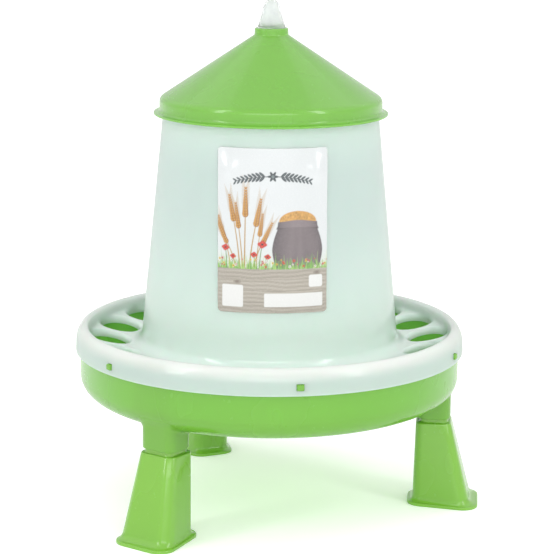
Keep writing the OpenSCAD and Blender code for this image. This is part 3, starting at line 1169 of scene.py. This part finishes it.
@dataclass
class LabelArt:
    """The label's print, painted at points given in mm from its lower middle.

    Every motif is a mask from 0 to 1 over all the points at once, laid over what is below it.
    """

    x: Array
    y: Array
    width: float
    ground: float = 33.0
    blades: int = 330
    blossoms: int = 46
    grains: int = 210
    colour: Array = field(init=False)
    rng: np.random.Generator = field(init=False)

    def __post_init__(self) -> None:
        """Starts from a pale sky that fades down to a soft green haze."""
        self.rng = np.random.default_rng(11)
        share = np.clip((self.ground + 16 - self.y) / 20, 0, 1) ** 1.5
        self.colour = blend(linear(227, 231, 232), linear(218, 229, 208), share)

    def lay(self, mask: Array, ink: Union[Rgb, Array]) -> None:
        """Lays an ink over the print where the mask is 1."""
        mask = np.clip(mask, 0, 1)[..., None]
        self.colour = self.colour * (1 - mask) + np.asarray(ink) * mask

    def stroke(self, x0: float, y0: float, x1: float, y1: float, bend: float, width: float,
               taper: float = 1.0) -> Array:
        """Mask of a bent stroke from one point to another.

        The distance to a parabola over the straight line, less a half width that thins out
        towards the far end by the taper.

        Args:
            x0, y0: where it starts.
            x1, y1: where it ends.
            bend: how far its middle bows out.
            width: its width at the start.
            taper: share of the width that is lost by the end.

        Returns:
            The mask.
        """
        dx, dy = x1 - x0, y1 - y0
        length = math.hypot(dx, dy)
        u = ((self.x - x0) * dx + (self.y - y0) * dy) / length
        v = (-(self.x - x0) * dy + (self.y - y0) * dx) / length
        t = np.clip(u / length, 0, 1)
        off = np.abs(v - 4 * bend * t * (1 - t))
        over = np.maximum(np.maximum(-u, u - length), 0)
        half = width / 2 * (1 - taper * t)
        return np.clip((half + 0.18 - np.hypot(off, over)) / 0.36, 0, 1)

    def spot(self, cx: float, cy: float, rx: float, ry: float, turn: float = 0.0,
             soft: float = 0.3) -> Array:
        """Mask of an ellipse, turned by an angle in radians, with a soft edge.

        Args:
            cx, cy: its middle.
            rx, ry: its radii.
            turn: its turn.
            soft: width of the soft edge.

        Returns:
            The mask.
        """
        c, s = math.cos(turn), math.sin(turn)
        u = ((self.x - cx) * c + (self.y - cy) * s) / rx
        v = (-(self.x - cx) * s + (self.y - cy) * c) / ry
        return np.clip((1 - np.hypot(u, v)) * min(rx, ry) / soft + 0.5, 0, 1)

    def panel(self, x0: float, y0: float, x1: float, y1: float, r: float) -> Array:
        """Mask of a rounded rectangle: the distance to its inner core, less the radius."""
        dx = np.maximum(np.abs(self.x - (x0 + x1) / 2) - (x1 - x0) / 2 + r, 0)
        dy = np.maximum(np.abs(self.y - (y0 + y1) / 2) - (y1 - y0) / 2 + r, 0)
        return np.clip((r - np.hypot(dx, dy)) / 0.35 + 0.5, 0, 1)

    def planks(self) -> None:
        """Weathered boards: layered waves across and along the grain, darker joints and knots."""
        x, y = self.x, self.y
        deep = 8.3
        board = np.floor(y / deep)
        shift = np.sin(board * 12.9) * 40
        flow = y + 0.9 * np.sin(x * 0.07 + shift) + 0.35 * np.sin(x * 0.23 + shift * 2)
        waves = ((2.1, 0.05), (5.3, 0.11), (9.7, 0.19), (14.9, 0.31))
        grain = sum(np.sin(flow * f + 1.7 * np.sin(x * g + shift + f)) / n
                    for n, (f, g) in enumerate(waves, 1))
        tone = 0.5 + 0.18 * grain + 0.10 * np.sin(board * 7.3)
        joint = np.clip(1 - np.abs((y / deep) % 1 - 0.98) * 26, 0, 1) * 0.55
        mask = np.clip((self.ground - y) / 0.4 + 0.5, 0, 1)
        self.lay(mask, blend(linear(146, 137, 124), linear(201, 194, 181), np.clip(tone, 0, 1)))
        self.lay(mask * joint, linear(110, 100, 90))
        for cx, cy in ((-26.0, 22.5), (12.0, 13.0), (33.0, 29.0)):
            for size in (1.0, 0.62, 0.3):
                ring = self.spot(cx, cy, 3.0 * size, 1.3 * size)
                self.lay(ring * 0.35, linear(110, 92, 80))

    def meadow(self) -> None:
        """Grass blades of mixed greens along the boards, with small round blossoms."""
        greens = (linear(120, 178, 76), linear(150, 200, 96), linear(98, 158, 70),
                  linear(178, 214, 120))
        left, right = -self.width / 2 - 1, self.width / 2 + 1
        for _ in range(self.blades):
            x0 = self.rng.uniform(left, right)
            tall = self.rng.gamma(4.0, 1.15)
            lean = self.rng.normal(0, 1.2)
            mask = self.stroke(x0, self.ground - 0.7, x0 + lean, self.ground + tall,
                               lean * 0.25, 0.75, 0.9)
            self.lay(mask * self.rng.uniform(0.45, 0.95), greens[self.rng.integers(4)])
        inks = (linear(222, 62, 48), linear(236, 196, 70), linear(246, 244, 240),
                linear(214, 96, 120))
        for _ in range(self.blossoms):
            cx = self.rng.uniform(left, right)
            cy = self.ground + self.rng.uniform(0.6, 6.5)
            size = self.rng.uniform(0.7, 1.5)
            ink = inks[self.rng.integers(4)]
            turn = self.rng.uniform(0, 6)
            angle = np.arctan2(self.y - cy, self.x - cx) + turn
            edge = size * (0.78 + 0.22 * np.cos(5 * angle))
            reach = np.hypot(self.x - cx, self.y - cy) / edge
            self.lay(np.clip((1 - reach) * 3, 0, 1) * 0.9, ink)
            self.lay(self.spot(cx, cy, size * 0.28, size * 0.28, 0, 0.2), linear(150, 104, 40))

    def ear(self, x0: float, tall: float, lean: float, size: float) -> None:
        """A ripe ear of wheat: a stalk, two rows of seeds along its tip, and awns.

        Args:
            x0: place of its foot.
            tall: height over the ground.
            lean: how far the top leans to the right.
            size: its scale.
        """
        straw, seed, shade = linear(186, 146, 78), linear(214, 160, 78), linear(142, 88, 38)
        y0 = self.ground - 0.5
        x1, y1 = x0 + lean, y0 + tall
        self.lay(self.stroke(x0, y0, x1, y1, lean * 0.12, 0.95 * size, 0.4), straw)
        axis = np.array([lean * 1.25, tall])
        axis /= np.linalg.norm(axis)
        side = np.array([-axis[1], axis[0]])
        tilt = math.atan2(axis[1], axis[0])
        for row in range(11):
            base = np.array([x1, y1]) + axis * (row * 1.75 - 3.0) * size
            swell = (1.0 - 0.055 * row) * size
            for way in (-1, 1):
                tip = base + (axis * 8.5 + side * way * 2.6) * size
                self.lay(self.stroke(*base, *tip, 0.1 * way, 0.32, 0.6) * 0.7, straw)
            for way in (-1, 1):
                at = base + side * way * 1.05 * swell
                turn = tilt + way * 0.42
                self.lay(self.spot(*at, 1.75 * swell, 0.92 * swell, turn), shade)
                lit = at + side * 0.18 * size + axis * 0.12
                self.lay(self.spot(*lit, 1.45 * swell, 0.66 * swell, turn), seed)

    def sack(self, cx: float, foot: float, size: float) -> None:
        """An open sack of grain: a bulging dark body with a weave, a rolled rim and a heap.

        Args:
            cx: place of its middle.
            foot: height of its foot.
            size: its scale.
        """
        x, y = (self.x - cx) / size, (self.y - foot) / size
        half = 10.8 + 2.2 * np.sin(np.clip(y / 22, 0, 1) * math.pi) - 0.10 * np.maximum(y - 10, 0)
        body = np.clip((half - np.abs(x)) / 0.35 + 0.5, 0, 1)
        body *= np.clip((y + 1.2 * np.cos(x / 8)) / 0.4 + 0.5, 0, 1) * np.clip((24 - y) / 0.4, 0, 1)
        roundness = np.sqrt(np.clip(1 - (x / (half + 0.5)) ** 2, 0, 1))
        weave = np.sin(x * 5.2 / (0.4 + 0.6 * roundness)) * np.sin(y * 5.0)
        folds = np.sin(x * 0.9 + 0.14 * y * np.sin(x * 0.4)) * 0.10 * np.clip((26 - y) / 26, 0, 1)
        tone = 0.24 + 0.56 * roundness + 0.11 * weave + folds - 0.12 * (x < 0) * (1 - roundness)
        cloth = blend(linear(52, 48, 54), linear(140, 128, 130), np.clip(tone, 0, 1))
        mouth = foot + 24.0 * size
        self.lay(self.spot(cx, mouth, 9.6 * size, 5.4 * size, 0, 0.5), linear(214, 160, 84))
        for _ in range(self.grains):
            a, r = self.rng.uniform(0, 2 * math.pi), size * math.sqrt(self.rng.uniform(0, 1))
            ink = np.array(linear(224, 172, 92)) * self.rng.uniform(0.6, 1.15)
            grain = self.spot(cx + 9.0 * r * math.cos(a), mouth + 4.9 * r * math.sin(a),
                              0.72 * size, 0.42 * size, self.rng.uniform(0, 3), 0.25)
            self.lay(grain * 0.9, ink)
        self.lay(body, cloth)
        rim = 1 - np.abs(y - 22.6 - 0.5 * np.cos(x * 0.28)) / 2.0
        rim = np.clip(rim * 5, 0, 1) * np.clip((half + 0.9 - np.abs(x)) / 0.5, 0, 1)
        self.lay(rim, cloth * 1.25)
        self.lay(rim * np.clip((21.4 - y) / 0.8, 0, 1) * 0.6, linear(62, 50, 48))

    def garland(self) -> None:
        """A slate-coloured garland: leaf pairs and buds on an arched stem, with a middle flower."""
        slate, pale = linear(66, 76, 80), linear(120, 132, 134)
        bow, top, fan = 0.0052, 99.0, 0.72
        arch = top - self.x ** 2 * bow
        span = np.clip((27.5 - np.abs(self.x)) / 0.3, 0, 1)
        self.lay(span * np.clip((0.34 - np.abs(self.y - arch)) / 0.3 + 0.3, 0, 1), slate)
        for k in range(1, 9):
            for way in (-1, 1):
                cx = way * (3.2 + 2.95 * k)
                cy, size = top - cx * cx * bow, 1.0 - 0.045 * k
                lean = math.atan(-2 * bow * cx)
                for side in (-1, 1):
                    turn = lean + way * side * fan
                    reach = 2.5 * size
                    lx = cx + way * reach * math.cos(fan)
                    ly = cy + side * reach * math.sin(fan) - 0.02 * k
                    self.lay(self.spot(lx, ly, 2.75 * size, 1.02 * size, turn), slate)
                    self.lay(self.spot(lx, ly + 0.1, 1.9 * size, 0.16, turn, 0.2) * 0.7, pale)
        angle = np.arctan2(self.y - top, self.x)
        petals = np.hypot(self.x, self.y - top) / (4.3 * (0.76 + 0.24 * np.cos(6 * angle)))
        self.lay(np.clip((1 - petals) * 6, 0, 1), slate)
        self.lay(self.spot(0.0, top, 1.15, 1.15), pale)

    def poppy(self, x0: float, tall: float, lean: float, size: float) -> None:
        """A red poppy: a thin bent stalk, four ruffled petals in two shades and a dark eye.

        Args:
            x0: place of its foot.
            tall: height over the ground.
            lean: how far the top leans to the right.
            size: its scale.
        """
        cx, cy = x0 + lean, self.ground + tall
        stalk = self.stroke(x0, self.ground, cx, cy, lean * 0.2, 0.7, 0.3)
        self.lay(stalk, linear(96, 140, 66))
        across, up = self.x - cx, (self.y - cy) * 1.25
        angle, reach = np.arctan2(up, across), np.hypot(across, up) / size
        lobes = np.cos(4 * angle + 0.6)
        edge = 1.0 + 0.10 * lobes + 0.035 * np.sin(17 * angle)
        self.lay(np.clip((edge - reach) * 4, 0, 1), linear(196, 40, 30))
        lit = np.clip((edge * 0.82 - reach) * 3, 0, 1) * (0.5 + 0.5 * lobes) * 0.7
        self.lay(lit, linear(232, 84, 58))
        self.lay(self.spot(cx, cy, 0.22 * size, 0.18 * size), linear(44, 32, 36))

    def furniture(self) -> None:
        """Blank panels for notes and a small blank tag."""
        half = self.width / 2
        for box in ((-6.0, 4.6, half - 3.4, 14.4, 0.8), (-half + 3.6, 4.2, -half + 19.5, 20.2, 1.2),
                    (half - 14.0, 18.6, half - 3.6, 27.4, 1.4)):
            self.lay(self.panel(*box), linear(240, 240, 238))

    def paint(self) -> Array:
        """The whole print, back to front, from the far ears to the garland.

        Returns:
            Linear colours, one a point.
        """
        for plant in ((-31, 25, -6, 0.85), (-22, 33, -3.5, 0.95), (-12, 27, 3.0, 0.85)):
            self.ear(*plant)
        self.sack(18.5, self.ground - 1.5, 1.45)
        for plant in ((-27, 21, -8.5, 0.9), (-20.5, 42, 0.5, 1.1), (-17, 35, 5.5, 1.05),
                      (-24, 38, -5.5, 1.0), (-14, 21, 8.0, 0.9)):
            self.ear(*plant)
        for plant in ((-34, 14, -1.0, 3.1), (-9.5, 17, 2.0, 3.6), (-13, 9.5, -0.6, 2.7),
                      (-30, 8.0, 0.8, 2.4), (-4.0, 8.0, 0.4, 2.6)):
            self.poppy(*plant)
        self.planks()
        self.meadow()
        self.furniture()
        self.garland()
        return np.clip(self.colour, 0, 1)


@dataclass
class Label:
    """Glossy printed film wrapped on the hopper's front. Lengths in mm, angles in degrees."""

    hopper: HopperMoulding
    middle: float = 1.2
    chord: float = 79.2
    low: float = 168.1
    height: float = 119.2
    film: float = 0.3
    corner: float = 2.6
    step: float = 0.36
    columns: int = 249

    def skin(self, u: Array, y: Array, raised: bool) -> Array:
        """Points of the film's outside or back.

        Near the ends a row's half width shrinks by r - sqrt(r^2 - d^2), for round corners. The
        angle is the arc sine of the distance across over the hopper's radius. The outside stands
        off by the film's thickness, slow ripples that grow towards the sides, and two blisters
        near the upper corners; the back stays on the wall.

        Args:
            u: place across, from -1 to 1.
            y: height above the film's lower edge in mm.
            raised: True for the outside.

        Returns:
            The points.
        """
        d = np.clip(self.corner - np.minimum(y, self.height - y), 0, self.corner)
        radius = self.hopper.hopper_at(self.low + y)
        inset = self.corner - np.sqrt(np.maximum(self.corner ** 2 - d ** 2, 0))
        angle = math.radians(self.middle) + np.arcsin(u * (self.chord / 2 - inset) / radius)
        ripple = 0.5 + 0.25 * np.sin(y * 0.13 + 2 * u) + 0.25 * np.sin(y * 0.31 - 5 * u)
        ripple = ripple * (0.35 + 0.65 * u ** 2)
        lift = np.exp(-((y - 104) / 8) ** 2 - ((np.abs(u) - 0.80) / 0.15) ** 2) * 1.15
        r = radius + (self.film - 0.1 + 0.22 * ripple + lift if raised else 0.04)
        return np.stack([r * np.sin(angle), -r * np.cos(angle), self.low + y], -1)

    def build(self, finish: PrintedFilm) -> None:
        """Lays the film on the hopper's taper and paints it.

        The outside is a fine grid. The back starts at the grid's border loop and shrinks ring by
        ring to a pole behind the film's middle, which closes the skin.

        Args:
            finish: the film's finish.
        """
        cap = self.corner * (1 - np.cos(np.linspace(0, np.pi / 2, 9)))
        between = np.arange(self.corner + self.step, self.height - self.corner - 0.2, self.step)
        rows = np.concatenate([cap, between, (self.height - cap)[::-1]])
        u, y = np.broadcast_arrays(np.linspace(-1, 1, self.columns)[None], rows[:, None])
        outside = self.skin(u, y, True)

        def border(grid: Array) -> Array:
            """Values around the grid's border, once round."""
            return np.concatenate([grid[0, :-1], grid[:-1, -1], grid[-1, :0:-1], grid[:0:-1, 0]])

        left = 1 - np.array([0, 0.03, 0.1, 0.22, 0.36, 0.5, 0.64, 0.78, 0.9, 1.0])[:, None]
        middle = self.height / 2
        back = self.skin(border(u) * left, middle + (border(y) - middle) * left, False)
        shell = Shell("label_film")
        shell.add(outside, round_columns=False)
        shell.add(np.concatenate([border(outside)[None], back]))
        piece = shell.build(60.0)
        self.colour(piece, finish.attribute)
        place(piece, Body.HOPPER, Slot.PRINT, finish.material(), "label")

    def colour(self, piece: bpy.types.Object, name: str) -> None:
        """Paints the print into a colour attribute; each vertex is unrolled to x and y first.

        Args:
            piece: the film's object.
            name: the attribute's name.
        """
        co = np.empty(len(piece.data.vertices) * 3, np.float32)
        piece.data.vertices.foreach_get("co", co)
        co = co.reshape(-1, 3) / MM
        r = np.hypot(co[:, 0], co[:, 1])
        turn = np.arctan2(co[:, 0], -co[:, 1]) - math.radians(self.middle)
        rgb = np.ones((len(co), 4), np.float32)
        rgb[:, :3] = LabelArt(turn * r, co[:, 2] - self.low, self.chord * 1.035).paint()
        attribute = piece.data.color_attributes.new(name=name, type="FLOAT_COLOR", domain="POINT")
        attribute.data.foreach_set("color", rgb.ravel())


# ---- studio ----------------------------------------------------------------


@dataclass
class Studio:
    """Pale floor, soft lights and the camera. Lengths in metres, angles in radians."""

    eye: tuple[float, float, float] = (0.0, -1.51815, 0.49845)
    pitch: float = 0.210
    roll: float = 0.007
    lens: float = 130.47
    shift: float = 0.013
    ambient: float = 1.0
    floor_half: float = 12.0
    aim_z: float = 0.2
    softboxes: tuple[tuple[Any, ...], ...] = (
        ("softbox_left", -54, 27, 2.1, (0.36, 1.5), 10),
        ("softbox_right", 52, 27, 2.1, (0.36, 1.5), 10),
        ("softbox_front", 0, 14, 2.5, (2.4, 0.6), 13),
        ("bank_left", -105, 46, 2.6, (3.0, 2.2), 8),
        ("bank_right", 105, 46, 2.6, (3.0, 2.2), 8))

    def camera(self) -> None:
        """Sets the camera from its pitch and roll."""
        p, q = self.pitch, self.roll
        right = np.array([1.0, 0.0, 0.0])
        up = np.array([0.0, math.sin(p), math.cos(p)])
        ahead = np.array([0.0, math.cos(p), -math.sin(p)])
        side, top = right * math.cos(q) + up * math.sin(q), up * math.cos(q) - right * math.sin(q)
        data = bpy.data.cameras.new("camera")
        data.lens, data.shift_x = self.lens, self.shift
        camera = bpy.data.objects.new("camera", data)
        matrix = np.eye(4)
        matrix[:3, 0], matrix[:3, 1], matrix[:3, 2], matrix[:3, 3] = side, top, -ahead, self.eye
        camera.matrix_world = Matrix(matrix.tolist())
        bpy.context.scene.collection.objects.link(camera)
        bpy.context.scene.camera = camera

    def softbox(self, name: str, azimuth: float, elevation: float, distance: float,
                size: tuple[float, float], power: float) -> None:
        """A rectangular light that looks at the feeder from an azimuth and elevation in degrees.

        Args:
            name: its name.
            azimuth: its angle from the front.
            elevation: its angle over the floor.
            distance: its distance in metres.
            size: its width and height in metres.
            power: its power in watts.
        """
        light = bpy.data.lights.new(name, "AREA")
        light.shape, light.size, light.size_y, light.energy = "RECTANGLE", *size, power
        lamp = bpy.data.objects.new(name, light)
        a, e = math.radians(azimuth), math.radians(elevation)
        back = Vector((math.sin(a) * math.cos(e), -math.cos(a) * math.cos(e), math.sin(e)))
        lamp.location = back * distance
        lamp.location[2] += self.aim_z
        lamp.rotation_euler = back.to_track_quat("Z", "Y").to_euler()
        bpy.context.scene.collection.objects.link(lamp)

    def build(self, finish: StudioFloor) -> None:
        """Makes the floor, the world, the lights and the camera.

        Args:
            finish: the floor's finish.
        """
        mesh = bpy.data.meshes.new("floor")
        s = self.floor_half
        mesh.from_pydata([(-s, -s, 0), (s, -s, 0), (s, s, 0), (-s, s, 0)], [], [(0, 1, 2, 3)])
        mesh.materials.append(finish.material())
        floor = bpy.data.objects.new("floor", mesh)
        bpy.context.scene.collection.objects.link(floor)
        floor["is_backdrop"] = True
        world = bpy.data.worlds.new("studio")
        world.use_nodes = True
        background = world.node_tree.nodes["Background"]
        background.inputs["Color"].default_value = (1.0, 1.0, 1.0, 1.0)
        background.inputs["Strength"].default_value = self.ambient
        bpy.context.scene.world = world
        bpy.context.scene.view_settings.view_transform = "Standard"
        for softbox in self.softboxes:
            self.softbox(*softbox)
        self.camera()


def main() -> None:
    """Builds the studio and each piece of the feeder, from the floor up."""
    logging.basicConfig(level=logging.INFO, format="%(name)s: %(message)s")
    Studio().build(StudioFloor())
    # The legs get a brighter copy of the green plastic: painted light for the shade they stand in
    # under the pan.
    leg_finish_painted_light = MouldedPlastic("green_moulded_plastic_legs_painted_light", (0.195, 0.450, 0.042),
                                (0.220, 0.480, 0.052), through=0.24).material()
    for leg in (Leg("leg_right", Body.LEG_RIGHT, 84.3), Leg("leg_left", Body.LEG_LEFT, -35.7),
                Leg("leg_rear", Body.LEG_REAR, 204.3)):
        leg.build(leg_finish_painted_light)
    Pan().build(MouldedPlastic("green_moulded_plastic_pan", (0.150, 0.385, 0.030),
                               (0.170, 0.408, 0.038)))
    hopper = HopperMoulding()
    hopper.build(MilkyPlastic())
    Label(hopper).build(PrintedFilm())
    Lid().build(MouldedPlastic())
    ClearCap().build(ClearPlastic())
    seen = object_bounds()
    for low, high, side in zip(*seen, "xyz"):
        log.info("visual box %s: %.4f to %.4f m", side, low, high)


if __name__ == "__main__":
    main()
